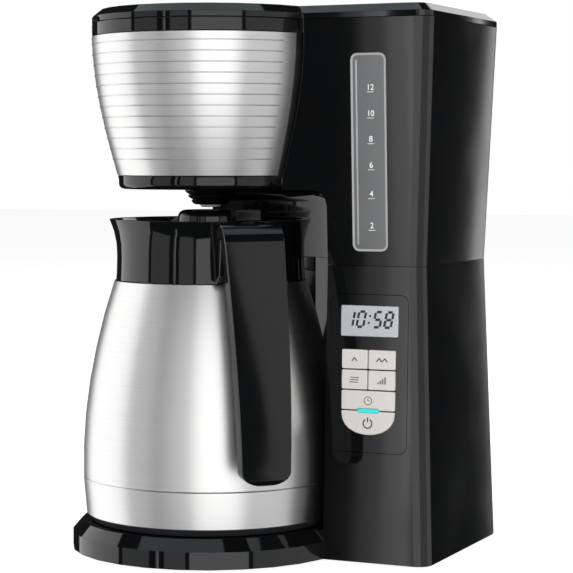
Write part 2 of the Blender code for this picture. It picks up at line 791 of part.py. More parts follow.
def control_panel(housing):
    half_x = panel_width / 2
    half_y = (panel_top - panel_bottom) / 2

    def outline(grow):
        return rounded_box(-half_x - grow, half_x + grow, -half_y - grow, half_y + grow,
                           [panel_radius + grow] * 4)

    cut(housing, on_panel(plate("panel_opening", [outline(gap)], -12, 12)))
    panel = on_panel(plate("control_panel", [outline(0)], -panel_thickness, 0, black_gloss))
    low = display_centre - panel_height - display_height / 2
    lens = (-display_width / 2, display_width / 2, low, low + display_height)
    boxes = key_boxes()
    cluster = (-key_width / 2 - gap, key_width / 2 + gap, boxes["key_timer"][2] - button_gap - gap,
               boxes["key_hour"][3] + gap)
    cut(panel, on_panel(plate("lens_opening", [rounded_box(lens[0] - gap, lens[1] + gap, lens[2] - gap,
                                                           lens[3] + gap, [0.8] * 4, 2)], -12, 12)))
    opening = on_panel(plate("keys_opening", [rounded_box(*cluster, [1.0] * 4, 2)], -12, 12))
    power_room = on_panel(plate("power_opening", [power_outline(gap)], -12, 12))
    cut(panel, opening, power_room)
    on_panel(plate("display_lens", [rounded_box(*lens, [0.6] * 4, 2)], -1.4, -0.1, clear_smoke))
    module = rounded_box(lens[0] - 1.5, lens[1] + 1.5, lens[2] - 1.5, lens[3] + 1.5, [0.6] * 4, 1)
    on_panel(plate("display_module", [module], -panel_thickness - 3.2, -panel_thickness - gap,
                   grey_plastic))
    pill = rounded_box(-pill_width / 2, pill_width / 2, boxes["key_timer"][2] - button_gap / 2
                       - pill_height / 2, boxes["key_timer"][2] - button_gap / 2 + pill_height / 2,
                       [pill_height / 2 - 0.01] * 4)
    on_panel(plate("status_light", [pill], -3.0, button_proud * 0.7, lamp_teal))
    x0 = -pill_width / 2 - gap
    x1 = pill_width / 2 + gap
    middle = boxes["key_timer"][2] - button_gap / 2
    notch = [rounded_box(x0, x1, middle - pill_height / 2 - gap, middle + pill_height / 2 + gap,
                         [pill_height / 2] * 4)]
    low_face = button_proud - button_depth
    for name, key in boxes.items():
        button = on_panel(plate(name, [rounded_box(*key, [0.8] * 4, 2)], low_face, button_proud,
                                warm_key))
        if name == "key_timer":
            cut(button, on_panel(plate("timer_notch", notch, -12, 12)))
    power = on_panel(plate("key_power", [power_outline(0)], low_face, button_proud, warm_key))
    cut(power, on_panel(plate("power_notch", notch, -12, 12)))
    mat_top = low_face - button_travel - gap
    mat = rounded_box(-key_width / 2 - 2, key_width / 2 + 2, keys_low - panel_height - 1,
                      boxes["key_hour"][3] + 1, [1] * 4, 1)
    on_panel(plate("keypad_mat", [mat], mat_top - 1.2, mat_top, rubber))
    board = rounded_box(-24, 24, -half_y + 2, half_y - 2, [1] * 4, 1)
    on_panel(plate("control_board", [board], mat_top - 3.2, mat_top - 1.6, board_green))


def electrics():
    low = foot_height + 2.2 + 4
    block("power_board", (right - 62, right - 18), (front + 42, front + 44), (low + 20, low + 84),
          board_green)
    gland_x = right - 40
    gland_z = 22.0
    hole = cylinder("gland_hole", 6.0, rear - 20, rear + 20, (gland_x, gland_z), along="Y")
    cut(bpy.data.objects["lower_housing"], hole)
    face = rear - waist_inset * (gland_z - foot_height) / (waist_height - foot_height)
    gland = cylinder("cord_gland", 6.0 - gap, face - wall - 6, face - 0.4, (gland_x, gland_z), rubber,
                     along="Y")
    cut(gland, cylinder("gland_bore", 3.6, rear - 40, rear + 40, (gland_x, gland_z), along="Y"))


# ---- Carafe -----------------------------------------------------------------------------
def carafe_profile(height):
    """Outer radius of the steel body: nearly upright at the foot, drawn in towards the neck."""
    neck = 64.3
    share = (shell_top - height) / (shell_top - shell_bottom)
    bulge = math.sin(min(share / 0.78, 1.0) * math.pi / 2)
    radius = neck + (carafe_radius - neck) * bulge ** 0.9
    foot = max((share - 0.84) / 0.16, 0.0)
    return radius - 1.9 * foot ** 1.8


def carafe_vessel():
    steps = 7
    heights = [shell_top + (shell_bottom - shell_top) * n / steps for n in range(steps + 1)]
    outside = [(carafe_profile(z), z) for z in heights]
    inner_heights = [shell_top + (shell_bottom + 1 - shell_top) * n / steps for n in range(steps + 1)]
    inside = [(carafe_profile(z) - shell_wall, z) for z in inner_heights]
    cup = [(0, shell_bottom + 1)] + list(reversed(inside)) + outside + [(0, shell_bottom)]
    turned("carafe_shell", cup, steel)
    reach = shell_wall + vacuum_gap
    low = shell_bottom + 1 + vacuum_gap
    top = shell_top - 16.0
    body = [(carafe_profile(z) - reach, z) for z in
            [top + (low + 6 - top) * n / 5 for n in range(6)]]
    neck = neck_radius - 4.0
    neck_top = collar_bottom + 9.0
    outer = [(neck, neck_top), (neck, top + 7)] + body + [(body[-1][0] - 7, low), (0, low)]
    inner = [(0, low + 1)] + [(body[-1][0] - 7.4, low + 1)]
    inner += [(r - shell_wall, z) for r, z in reversed(body)] + [(neck - shell_wall, top + 6.6),
                                                                 (neck - shell_wall, neck_top)]
    turned("carafe_liner", inner + outer, steel)
    ring_top = shell_bottom - gap
    turned("carafe_base_ring", [(carafe_profile(shell_bottom) - 0.2, ring_top),
                                (carafe_profile(shell_bottom) - 3.4, carafe_base),
                                (66, carafe_base), (66, ring_top)], black_satin)


def collar_profile(height):
    """Waisted black collar that flares into the pouring rim."""
    waist = 62.7
    middle = collar_bottom + 18.0
    if height < middle:
        return waist + 0.6 * ((middle - height) / (middle - collar_bottom)) ** 2
    share = (height - middle) / (rim_height - middle)
    return waist + (rim_radius - waist) * share ** 2.0


def carafe_collar():
    steps = 5
    heights = [rim_height + (collar_bottom - rim_height) * n / steps for n in range(steps + 1)]
    outside = [(collar_profile(z), z) for z in heights]
    shelf = collar_bottom + 9.0 + gap
    hold = neck_radius - 4.0 + gap
    inside = [(hold, collar_bottom), (hold, shelf), (hold - 3, shelf), (hold - 3, shelf + 2),
              (neck_radius, shelf + 2), (neck_radius, rim_height - 6), (rim_radius - 4, rim_height)]
    turned("carafe_collar", outside + inside, black_gloss)


lever_radius = 79.0
lever_height = 213.5
lever_width = 16.0


def radial_matrix():
    """Local x out along the handle, local y up, and local z across it."""
    out = Vector((math.cos(math.radians(handle_angle)), math.sin(math.radians(handle_angle)), 0))
    across = out.cross(Vector((0, 0, 1)))
    matrix = Matrix((out, (0, 0, 1), across)).transposed().to_4x4()
    return Matrix.Translation((axis_x * mm, axis_y * mm, 0)) @ matrix


def handle_curve():
    """Outer side of the grip as (reach, height), from the root out and down to the tip."""
    bend = arc((84.0, handle_top - 14.0), 14.0, 90, 8, 5)
    tip = (handle_reach, handle_bottom + 6)
    points = [(70.0, handle_top)] + bend
    start = bend[-1]
    for step in range(1, 8):
        share = step / 7
        points.append((start[0] + (tip[0] - start[0]) * math.sin(share * math.pi / 2),
                       start[1] + (tip[1] - start[1]) * share))
    return points


def carafe_handle():
    outer = handle_curve()
    tip = arc((outer[-1][0] - handle_thickness / 2, outer[-1][1]), handle_thickness / 2, 0, -180, 6)
    inside = [(outer[-1][0] - handle_thickness, outer[-1][1])]
    for x, y in reversed(outer[6:-1]):
        inside.append((x - handle_thickness * 1.02, y))
    root = [(84.0, 188.0), (74.0, 183.0)]
    clear = collar_profile(rim_height) + gap
    seat = [(collar_profile(z) + gap + 0.2, z) for z in (184.0, 192.0, 200.0, 208.0, 214.0)]
    seat += [(clear + 0.2, handle_top)]
    profile = outer[1:] + tip[1:-1] + inside + root + seat
    half = handle_width_top / 2
    grip = plate("carafe_handle", [profile], -half, half, black_gloss)
    for vertex in grip.data.vertices:
        share = min(max((handle_top - vertex.co.y / mm) / (handle_top - handle_bottom), 0), 1)
        scale = 1 - (1 - handle_width_bottom / handle_width_top) * share
        vertex.co.z *= scale
    baked(grip)
    lowest = min(vertex.co.y for vertex in grip.data.vertices) / mm
    half_low = handle_width_bottom / 2 + gap
    end = [(half_low * math.cos(math.radians(a)), lowest + end_rise * (1 + math.sin(math.radians(a))))
           for a in range(-180, 1, 15)]
    outline = [(-handle_width_top, lowest + end_rise), (-handle_width_top, 260)]
    outline += [(handle_width_top, 260), (handle_width_top, lowest + end_rise)]
    rounding = plate("end_rounding", [end + outline[::-1]], 60, 140)
    rounding.data.transform(Matrix(((0, 0, 1, 0), (0, 1, 0, 0), (1, 0, 0, 0), (0, 0, 0, 1))))
    rounding.data.flip_normals()
    kept_inside(grip, rounding)
    edge = grip.modifiers.new("edge", "BEVEL")
    edge.width = 1.6 * mm
    edge.segments = 2
    edge.limit_method = "ANGLE"
    edge.angle_limit = math.radians(50)
    baked(grip)
    grip.data.transform(radial_matrix())
    slot = plate("lever_slot", [rounded_box(lever_radius - 7.2, lever_radius + 7.2, lever_height - 6,
                                            handle_top + 20, [1] * 4, 1)], -4.8, 4.8)
    slot.data.transform(radial_matrix())
    cut(grip, slot)
    rim = turned("collar_clearance", [(0, 300)] + [(rim_radius + gap, 300)]
                 + [(collar_profile(z) + gap, z) for z in (rim_height, 215, 208, 200, 192, 182)]
                 + [(collar_profile(182) + gap, 100), (0, 100)])
    cut(grip, rim)
    hole = cylinder("screw_hole", 2.4 + gap, 50, 95, (196.0, 0), steps=12, along="X")
    hole.data.transform(radial_matrix())
    cut(grip, hole)
    pin = cylinder("pin_hole", 1.2 + gap, -7.5, 7.5, (0, 0), steps=12)
    pin.data.transform(radial_matrix() @ Matrix.Translation((lever_radius * mm, lever_height * mm, 0)))
    cut(grip, pin)
    return grip


def thumb_lever():
    matrix = radial_matrix()
    pad_low = handle_top + 1.2
    pad = plate("thumb_lever", [rounded_box(lever_radius - 7, lever_radius + 5, pad_low, pad_low + 7.6,
                                            [1.5] * 4, 2)], -lever_width / 2, lever_width / 2, black_gloss)
    stem = plate("lever_stem", [rounded_box(lever_radius - 3.4, lever_radius + 3.4, lever_height - 3.6,
                                            pad_low + 2, [2.4, 2.4, 0.5, 0.5], 2)], -4.2, 4.2)
    merged(pad, stem)
    cut(pad, cylinder("lever_bore", 1.2 + gap, -20, 20, (0, 0), steps=12))
    bpy.data.objects["lever_bore"].data.transform(
        Matrix.Translation((lever_radius * mm, lever_height * mm, 0)))
    baked(pad)
    pad.data.transform(matrix)
    pin = cylinder("lever_pin", 1.2, -7.0, 7.0, (0, 0), steel, 12)
    pin.data.transform(matrix @ Matrix.Translation((lever_radius * mm, lever_height * mm, 0)))
    screw = cylinder("handle_screw", 2.4, 66.0, 71.5, (196.0, 0), zinc, 10, "X")
    screw.data.transform(matrix)
    return pad


def carafe_lid():
    plug = neck_radius - 0.6
    brim = rim_height - 6.0
    top = 227.6
    thickness = 2.4
    low = collar_bottom + 16.0
    dome = arc((17.0, top - 5), 5.0, 90, 0, 4)
    profile = [(4, top)] + dome + [(22.6, brim + 1.6), (plug - 1, brim), (plug, brim - 1), (plug, low)]
    inner_top = top - thickness
    profile += [(plug - thickness, low), (plug - thickness, brim - thickness - 1),
                (20.2, brim - thickness), (19.4, inner_top - 4), (16.0, inner_top), (4, inner_top)]
    turned("carafe_lid", profile, black_gloss)
    seal_top = low - gap
    turned("carafe_lid_seal", [(plug - 0.2, seal_top), (plug - 0.2, seal_top - 2.4),
                               (plug - 5, seal_top - 2.4), (plug - 5, seal_top)], silicone)


def build():
    lower = lower_housing()
    bottom_cover()
    feet()
    bottom_screws()
    upper = upper_housing()
    brew_head()
    steel_band()
    lid()
    lid_fittings()
    filter_basket()
    mesh_filter()
    drip_stop()
    reservoir_tank()
    top_deck()
    water_path()
    heater_fittings()
    water_window(upper)
    control_panel(lower)
    electrics()
    carafe_vessel()
    carafe_collar()
    carafe_handle()
    thumb_lever()
    carafe_lid()


build()
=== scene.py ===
import json
import math
import bmesh
import bpy
from mathutils import Matrix, Vector


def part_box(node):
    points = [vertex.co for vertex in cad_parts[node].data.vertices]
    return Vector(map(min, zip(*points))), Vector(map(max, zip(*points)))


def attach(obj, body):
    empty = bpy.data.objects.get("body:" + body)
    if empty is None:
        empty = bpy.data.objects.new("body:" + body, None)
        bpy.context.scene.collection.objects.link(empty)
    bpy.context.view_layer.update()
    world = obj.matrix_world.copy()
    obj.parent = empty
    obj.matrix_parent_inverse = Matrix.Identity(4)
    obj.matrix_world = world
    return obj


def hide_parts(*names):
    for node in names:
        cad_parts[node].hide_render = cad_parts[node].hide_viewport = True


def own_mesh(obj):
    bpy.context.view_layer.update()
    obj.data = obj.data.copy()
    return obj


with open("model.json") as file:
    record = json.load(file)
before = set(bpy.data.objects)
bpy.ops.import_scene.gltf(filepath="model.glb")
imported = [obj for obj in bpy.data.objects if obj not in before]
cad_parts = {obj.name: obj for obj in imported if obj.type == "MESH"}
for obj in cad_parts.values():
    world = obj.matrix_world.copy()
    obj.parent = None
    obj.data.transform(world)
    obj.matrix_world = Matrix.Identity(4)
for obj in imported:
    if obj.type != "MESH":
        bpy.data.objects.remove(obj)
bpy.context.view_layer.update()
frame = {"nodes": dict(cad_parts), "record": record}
nodes = frame["nodes"]
mm = 0.001
print("frame loaded,", len(nodes), "nodes")

# The carafe and the brew head stand on one vertical axis.
headLow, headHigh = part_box("brew_head")
axisX = (headLow.x + headHigh.x) / 2
axisY = (headLow.y + headHigh.y) / 2


# Shader groups: each is built once and placed in the materials that use it
skinLook = {"grain": 900.0, "waves": 30.0, "smearScale": 14.0, "smearDetail": 6.0,
            "marksFrom": 0.45, "marksTo": 0.75}
reliefDepth = 0.02 * mm  # how deep grain and brush lines go


def newGroup(name, inputs, outputs):
    tree = bpy.data.node_groups.new(name, "ShaderNodeTree")
    for label, kind, value in inputs:
        socket = tree.interface.new_socket(label, in_out="INPUT", socket_type=kind)
        socket.default_value = value
    for label in outputs:
        tree.interface.new_socket(label, in_out="OUTPUT", socket_type="NodeSocketFloat")
    return tree, tree.nodes.new("NodeGroupInput"), tree.nodes.new("NodeGroupOutput")


def makeMouldedSkin():
    # Fine moulded grain, broad waviness and faint handling marks.
    tree, source, result = newGroup("mouldedSkin", [
        ("Vector", "NodeSocketVector", (0, 0, 0)), ("Grain", "NodeSocketFloat", skinLook["grain"]),
        ("Waves", "NodeSocketFloat", skinLook["waves"])], ["Height", "Wave", "Marks"])
    add = tree.nodes.new
    for scaleFrom, output, detail in (("Grain", "Height", 3.0), ("Waves", "Wave", 1.0)):
        noise = add("ShaderNodeTexNoise")
        noise.inputs["Detail"].default_value = detail
        tree.links.new(source.outputs["Vector"], noise.inputs["Vector"])
        tree.links.new(source.outputs[scaleFrom], noise.inputs["Scale"])
        tree.links.new(noise.outputs["Fac"], result.inputs[output])
    smear = add("ShaderNodeTexNoise")
    smear.inputs["Scale"].default_value = skinLook["smearScale"]
    smear.inputs["Detail"].default_value = skinLook["smearDetail"]
    ramp = add("ShaderNodeMapRange")
    ramp.inputs["From Min"].default_value = skinLook["marksFrom"]
    ramp.inputs["From Max"].default_value = skinLook["marksTo"]
    tree.links.new(source.outputs["Vector"], smear.inputs["Vector"])
    tree.links.new(smear.outputs["Fac"], ramp.inputs["Value"])
    tree.links.new(ramp.outputs["Result"], result.inputs["Marks"])
    return tree


def makeBrushedLines():
    # Long thin scratches: the vector is squeezed so that the noise runs along one direction.
    tree, source, result = newGroup("brushedLines", [
        ("Vector", "NodeSocketVector", (0, 0, 0)), ("Squeeze", "NodeSocketVector", (20, 20, 1800))],
        ["Height", "Streaks"])
    add = tree.nodes.new
    squeeze = add("ShaderNodeVectorMath")
    squeeze.operation = "MULTIPLY"
    tree.links.new(source.outputs["Vector"], squeeze.inputs[0])
    tree.links.new(source.outputs["Squeeze"], squeeze.inputs[1])
    for output, detail in (("Height", 4.0), ("Streaks", 1.0)):
        noise = add("ShaderNodeTexNoise")
        noise.inputs["Scale"].default_value = 1.0
        noise.inputs["Detail"].default_value = detail
        tree.links.new(squeeze.outputs[0], noise.inputs["Vector"])
        tree.links.new(noise.outputs["Fac"], result.inputs[output])
    return tree


mouldedSkin = makeMouldedSkin()
brushedLines = makeBrushedLines()


def rangeOf(tree, value, low, high):
    node = tree.nodes.new("ShaderNodeMapRange")
    node.inputs["To Min"].default_value = low
    node.inputs["To Max"].default_value = high
    tree.links.new(value, node.inputs["Value"])
    return node.outputs["Result"]


def tinted(tree, value, color, shift):
    # A small change of brightness over the surface, about the finish's own colour.
    mix = tree.nodes.new("ShaderNodeMix")
    mix.data_type = "RGBA"
    mix.inputs[6].default_value = [c * (1 - shift) for c in color[:3]] + [1]
    mix.inputs[7].default_value = [min(1, c * (1 + shift)) for c in color[:3]] + [1]
    tree.links.new(value, mix.inputs["Factor"])
    return mix.outputs[2]


def bumpFrom(tree, shader, height, strength):
    bump = tree.nodes.new("ShaderNodeBump")
    bump.inputs["Strength"].default_value = strength
    bump.inputs["Distance"].default_value = reliefDepth
    tree.links.new(height, bump.inputs["Height"])
    tree.links.new(bump.outputs["Normal"], shader.inputs["Normal"])


def startMaterial(name):
    material = bpy.data.materials.new(name)
    material.use_nodes = True
    tree = material.node_tree
    place = tree.nodes.new("ShaderNodeTexCoord")
    return material, tree, tree.nodes["Principled BSDF"], place.outputs["Object"]


def plastic(name, color, roughness, spread, grain=skinLook["grain"], bump=0.05, coat=0.0,
            shift=0.12, **fixed):
    material, tree, shader, place = startMaterial(name)
    skin = tree.nodes.new("ShaderNodeGroup")
    skin.node_tree = mouldedSkin
    skin.inputs["Grain"].default_value = grain
    tree.links.new(place, skin.inputs["Vector"])
    tree.links.new(tinted(tree, skin.outputs["Wave"], color, shift), shader.inputs["Base Color"])
    tree.links.new(rangeOf(tree, skin.outputs["Marks"], roughness, roughness + spread),
                   shader.inputs["Roughness"])
    shader.inputs["Coat Weight"].default_value = coat
    shader.inputs["Coat Roughness"].default_value = 0.05
    for socket, value in fixed.items():
        shader.inputs[socket.replace("_", " ")].default_value = value
    bumpFrom(tree, shader, skin.outputs["Height"], bump)
    return material


def metal(name, color, roughness, spread, squeeze, bump=0.12, shift=0.08):
    material, tree, shader, place = startMaterial(name)
    lines = tree.nodes.new("ShaderNodeGroup")
    lines.node_tree = brushedLines
    lines.inputs["Squeeze"].default_value = squeeze
    tree.links.new(place, lines.inputs["Vector"])
    tree.links.new(tinted(tree, lines.outputs["Streaks"], color, shift), shader.inputs["Base Color"])
    tree.links.new(rangeOf(tree, lines.outputs["Height"], roughness, roughness + spread),
                   shader.inputs["Roughness"])
    shader.inputs["Metallic"].default_value = 1.0
    bumpFrom(tree, shader, lines.outputs["Height"], bump)
    return material


finishes = {
    "black_gloss": plastic("blackGloss", (0.003, 0.0032, 0.0035), 0.05, 0.03, bump=0.01),
    "black_satin": plastic("blackSatin", (0.018, 0.018, 0.020), 0.32, 0.12, bump=0.15),
    "grey_plastic": plastic("mouldedGrey", (0.22, 0.22, 0.23), 0.38, 0.1, bump=0.15),
    "key_plastic": plastic("keyCream", (0.72, 0.69, 0.66), 0.33, 0.08, bump=0.1, shift=0.03),
    "silicone": plastic("milkySilicone", (0.62, 0.62, 0.60), 0.42, 0.1, bump=0.05, shift=0.03),
    "rubber": plastic("mattRubber", (0.022, 0.022, 0.022), 0.72, 0.12, grain=1400.0, bump=0.3),
    "circuit_board": plastic("boardGreen", (0.015, 0.13, 0.055), 0.3, 0.1, bump=0.1),
    "smoke_window": plastic("smokeWindow", (0.012, 0.013, 0.014), 0.06, 0.03, bump=0.01, coat=0.5),
    "lamp_teal": plastic("lampTeal", (0.04, 0.55, 0.56), 0.25, 0.05, bump=0.02, shift=0.03,
                         Emission_Color=(0.05, 0.75, 0.75, 1), Emission_Strength=0.35),
    "brushed_steel": metal("brushedSteel", (0.72, 0.72, 0.715), 0.26, 0.1, (10, 10, 1500),
                           bump=0.05, shift=0.06),
    "zinc": metal("zincPlated", (0.52, 0.53, 0.55), 0.3, 0.12, (300, 300, 300)),
    "aluminium": metal("drawnAluminium", (0.64, 0.64, 0.65), 0.3, 0.14, (900, 30, 900)),
    "gold_mesh": metal("goldMesh", (0.66, 0.45, 0.16), 0.34, 0.12, (1200, 1200, 1200), bump=0.4),
}
finishes["window_pane"] = plastic("windowPane", (0.15, 0.152, 0.155), 0.08, 0.03, bump=0.01)
# Light grey paint for the window's edge ring and its left ridge: a painted highlight where the clear
# plastic catches light.
finishes["window_rim"] = plastic("windowRim", (0.42, 0.42, 0.42), 0.12, 0.04, bump=0.01)
inkWhite = plastic("printedWhite", (0.95, 0.95, 0.94), 0.45, 0.05, shift=0.02)
inkGrey = plastic("printedGrey", (0.05, 0.05, 0.048), 0.5, 0.05, shift=0.03)
lcdGlass = plastic("displayGlass", (0.52, 0.535, 0.54), 0.18, 0.05, bump=0.02, coat=0.6, shift=0.03)
lcdInk = plastic("displayInk", (0.02, 0.022, 0.022), 0.4, 0.05, shift=0.03)

slotOf = {entry["node"]: entry["material_slot"] for entry in frame["record"]["subparts"]}
bodyOf = {n: b for b, held in frame["record"]["behaviour"]["bodies"].items() for n in held}
for node, thing in nodes.items():
    thing.data.materials.clear()
    thing.data.materials.append(finishes[slotOf[node]])
print("materials placed on every node")


# Helpers that finish a piece
creaseAngle = 32  # degrees; an edge that turns further than this stays crisp
mergeReach = 1e-6


def finishPiece(name, mesh, material, body, standsFor=(), recalc=True, crease=creaseAngle):
    if recalc:
        bmesh.ops.remove_doubles(mesh, verts=mesh.verts, dist=mergeReach)
        bmesh.ops.recalc_face_normals(mesh, faces=mesh.faces)
    data = bpy.data.meshes.new(name)
    mesh.to_mesh(data)
    mesh.free()
    data.materials.append(material)
    data.shade_smooth()
    data.set_sharp_from_angle(angle=math.radians(crease))
    piece = bpy.data.objects.new(name, data)
    bpy.context.scene.collection.objects.link(piece)
    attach(piece, body)
    if standsFor:
        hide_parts(*standsFor)
    return piece


# These are round all over, so none of their faces is shaded flat.
curvedNodes = ("carafe_handle", "carafe_collar", "brew_head", "carafe_lid", "carafe_base_ring")
broadFace = 0.003  # square metres; a larger face is flat on the real thing too
broadFaceOf = {"control_panel": 0.0}  # the panel is flat all over
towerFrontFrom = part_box("control_panel")[0].x - 8 * mm
facingFront = -0.97  # the y of a normal that points to the front
easedLook = {"merge": 2e-6, "flatWithin": math.radians(0.4), "segments": 2, "weight": 50}


def liesFlat(node, face):
    # Broad faces, and the tower's front beside the panel.
    besidePanel = (node == "lower_housing" and face.normal.y < facingFront
                   and face.center.x > towerFrontFrom)
    return face.area >= broadFaceOf.get(node, broadFace) or besidePanel


def softened(node, name, width):
    # The node's own shape with its loose triangles merged and its edges eased.
    mesh = bmesh.new()
    mesh.from_mesh(nodes[node].data)
    bmesh.ops.remove_doubles(mesh, verts=mesh.verts, dist=easedLook["merge"])
    bmesh.ops.dissolve_limit(mesh, angle_limit=easedLook["flatWithin"], verts=mesh.verts,
                             edges=mesh.edges)
    piece = finishPiece(name, mesh, finishes[slotOf[node]], bodyOf[node], [node],
                        recalc=False)
    for face in piece.data.polygons:
        face.use_smooth = node in curvedNodes or not liesFlat(node, face)
    bevel = piece.modifiers.new("easedEdges", "BEVEL")
    bevel.width = width * mm
    bevel.segments = easedLook["segments"]
    bevel.limit_method = "ANGLE"
    bevel.angle_limit = math.radians(creaseAngle)
    if node in curvedNodes and node != "carafe_handle":
        return piece
    flats = piece.modifiers.new("flatFaces", "WEIGHTED_NORMAL")
    flats.keep_sharp = True
    flats.weight = easedLook["weight"]
    return piece


def turned(profile, steps, start=0.0, sweep=math.tau):
    # Profile points are (radius, height) in metres; the spin goes round the carafe axis.
    mesh = bmesh.new()
    line = [mesh.verts.new((axisX + r, axisY, z)) for r, z in profile]
    edges = [mesh.edges.new(pair) for pair in zip(line, line[1:])]
    edges.append(mesh.edges.new((line[-1], line[0])))
    geom = line + edges
    if sweep < math.tau:
        geom.append(mesh.faces.new(line))
    bmesh.ops.rotate(mesh, cent=(axisX, axisY, 0), matrix=Matrix.Rotation(start, 3, "Z"), verts=line)
    bmesh.ops.spin(mesh, geom=geom, cent=(axisX, axisY, 0), axis=(0, 0, 1),
                   angle=sweep, steps=steps, use_merge=sweep >= math.tau)
    return mesh


profileLook = {"passes": 4, "innerDip": 0.35 * mm}


def outerProfile(node):
    # Widest radius of the node at each of its own heights.
    found = {}
    for v in nodes[node].data.vertices:
        z = round(v.co.z, 5)
        found[z] = max(found.get(z, 0), math.hypot(v.co.x - axisX, v.co.y - axisY))
    points = [(found[z], z) for z in sorted(found)]
    # A height that only the inner wall has lies inside the line between its neighbours.
    kept = points[:]
    for _ in range(profileLook["passes"]):
        kept = [p for k, p in enumerate(kept) if k in (0, len(kept) - 1)
                or p[0] > radiusAt([kept[k - 1], kept[k + 1]], p[1]) - profileLook["innerDip"]]
    return kept


def radiusAt(profile, height):
    # Straight between the two nearest heights of the profile.
    for (r0, z0), (r1, z1) in zip(profile, profile[1:]):
        if z0 <= height <= z1 and z1 > z0:
            return r0 + (r1 - r0) * (height - z0) / (z1 - z0)
    return profile[0][0] if height < profile[0][1] else profile[-1][0]


faceEnd = 3 * mm  # how much of each end of a front face is read for its tilt


def frontPlane(node):
    # Lowest and highest points of the node's front face give its tilt.
    low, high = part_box(node)
    points = [v.co for v in nodes[node].data.vertices]
    foot = min((p.y, p.z) for p in points if p.z < low.z + faceEnd)
    head = min((p.y, p.z) for p in points if p.z > high.z - faceEnd)
    up = Vector((0, head[0] - foot[0], head[1] - foot[1])).normalized()
    return Vector((0, foot[0], foot[1])), up


def onFront(node, x, z, proud):
    # Stands a flat drawing's own XY plane on the node's front face.
    foot, up = frontPlane(node)
    out = Vector((1, 0, 0)).cross(up)
    spot = foot + up * ((z - foot.z) / up.z)
    spot.x = x
    matrix = Matrix((Vector((1, 0, 0)), up, out)).transposed().to_4x4()
    matrix.translation = spot + out * proud
    return matrix


printThick = 0.0001
ringLook = {"steps": 28, "overlap": 1.15}


def addBar(mesh, matrix, x, y, width, height, thick=printThick, lean=0.0, turn=0.0):
    made = bmesh.ops.create_cube(mesh, size=1.0)["verts"]
    bmesh.ops.scale(mesh, vec=(width, height, thick), verts=made)
    bmesh.ops.rotate(mesh, cent=(0, 0, 0), matrix=Matrix.Rotation(turn, 3, "Z"), verts=made)
    bmesh.ops.translate(mesh, vec=(x, y, 0), verts=made)
    for v in made:
        v.co.x += v.co.y * lean
    bmesh.ops.transform(mesh, matrix=matrix, verts=made)


def addRing(mesh, matrix, radius, line, start=0.0, sweep=math.tau):
    # A flat arc of the given line width round the drawing's own centre.
    steps = ringLook["steps"]
    for k in range(steps):
        angle = start + sweep * (k + 0.5) / steps
        addBar(mesh, matrix, radius * math.cos(angle), radius * math.sin(angle),
               line, radius * sweep / steps * ringLook["overlap"], turn=angle)


# Housings and trim: the CAD shape with eased edges, widths in millimetres

easedEdges = {
    "lower_housing": 0.8, "upper_housing": 0.7, "lid": 0.7, "brew_head": 0.5, "control_panel": 0.35,
    "carafe_handle": 1.8, "thumb_lever": 0.7, "carafe_collar": 0.4, "carafe_lid": 0.5,
    "carafe_base_ring": 0.5, "filter_basket": 0.3, "top_deck": 0.3, "bottom_cover": 0.4,
    "cord_gland": 0.5, "reservoir_tank": 0.5, "foot_front_left": 0.4, "foot_front_right": 0.4,
    "foot_rear_left": 0.4, "foot_rear_right": 0.4, "key_hour": 0.4, "key_minute": 0.4,
    "key_clean": 0.4, "key_strength": 0.4, "key_timer": 0.4, "key_power": 0.4, "status_light": 0.3,
}
for node, width in easedEdges.items():
    words = node.split("_")
    softened(node, words[0] + "".join(w.title() for w in words[1:]) + "Look", width)

# The valve spring, fixed at its upper end, becomes a piece of its own with a mesh of its own.
coil = bmesh.new()
coil.from_mesh(nodes["valve_spring"].data)
bmesh.ops.remove_doubles(coil, verts=coil.verts, dist=mergeReach)
spring = finishPiece("valveSpringLook", coil, finishes["brushed_steel"], "root",
                     ["valve_spring"], recalc=False, crease=60)
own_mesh(spring)
print("housings and trim eased")


# Carafe shell and brew head band

shellLook = {"steps": 160, "thickness": 0.8 * mm, "leastRadius": 0.01, "grooveHeight": 50 * mm,
             "grooveDepth": 0.35 * mm, "grooveHalf": 0.5 * mm, "grooveClear": 0.6 * mm}
outer = outerProfile("carafe_shell")
groove = shellLook["grooveHeight"]
grooveSides = [(radiusAt(outer, z) - depth, z) for z, depth in (
    (groove - shellLook["grooveHalf"], 0), (groove, shellLook["grooveDepth"]),
    (groove + shellLook["grooveHalf"], 0))]
clear = [p for p in outer if abs(p[1] - groove) > shellLook["grooveClear"]]
outer = sorted(clear + grooveSides, key=lambda p: p[1])
inner = [(max(r - shellLook["thickness"], shellLook["leastRadius"]), z) for r, z in reversed(outer)]
finishPiece("carafeShellLook", turned(outer + inner, shellLook["steps"]), finishes["brushed_steel"],
            "carafe", ["carafe_shell"])

